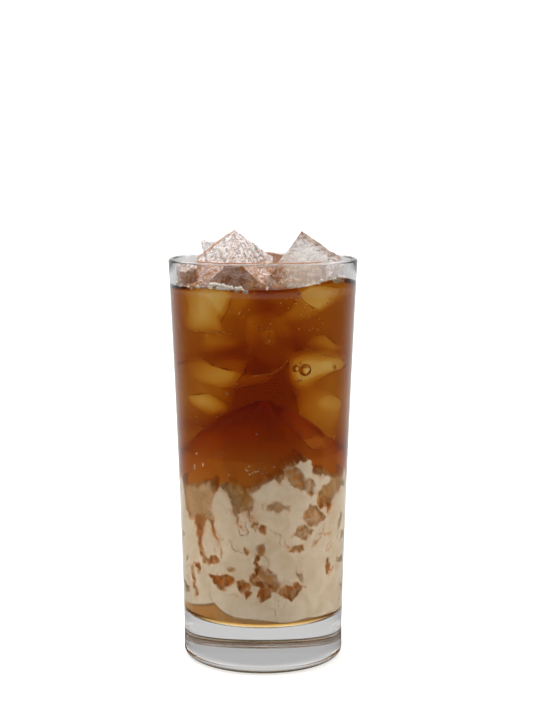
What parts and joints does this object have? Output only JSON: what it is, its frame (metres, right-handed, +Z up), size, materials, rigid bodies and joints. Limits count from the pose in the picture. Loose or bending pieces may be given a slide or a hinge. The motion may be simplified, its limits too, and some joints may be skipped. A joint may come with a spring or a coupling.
{
  "type": "glass of iced coffee",
  "caption": "Tall clear heavy-based tumbler of iced coffee, with syrup on its floor, a thick layer of cream and ice standing out of the top.",
  "frame": {"origin": "centre of the ring that the glass stands on, at the height of the surface it stands on", "axes": "+Z up along the glass's axis, -Y towards the viewer of the picture, +X to the viewer's right"},
  "size_m": [0.07, 0.07, 0.1605],
  "materials": {
    "glass": "clear, fire-polished",
    "syrup": "clear amber liquid",
    "cream": "smooth, opaque, wet",
    "coffee": "clear brown liquid",
    "ice": "melting, pitted, partly frosted"
  },
  "bodies": {
    "root": {"tumbler": "glass", "syrup": "syrup", "cream": "cream", "coffee": "coffee", "ice_peak_left": "ice", "ice_peak_right": "ice", "ice_back_left": "ice", "ice_wedge": "ice", "ice_chip_left": "ice", "ice_chip_right": "ice"}
  },
  "joints": []
}
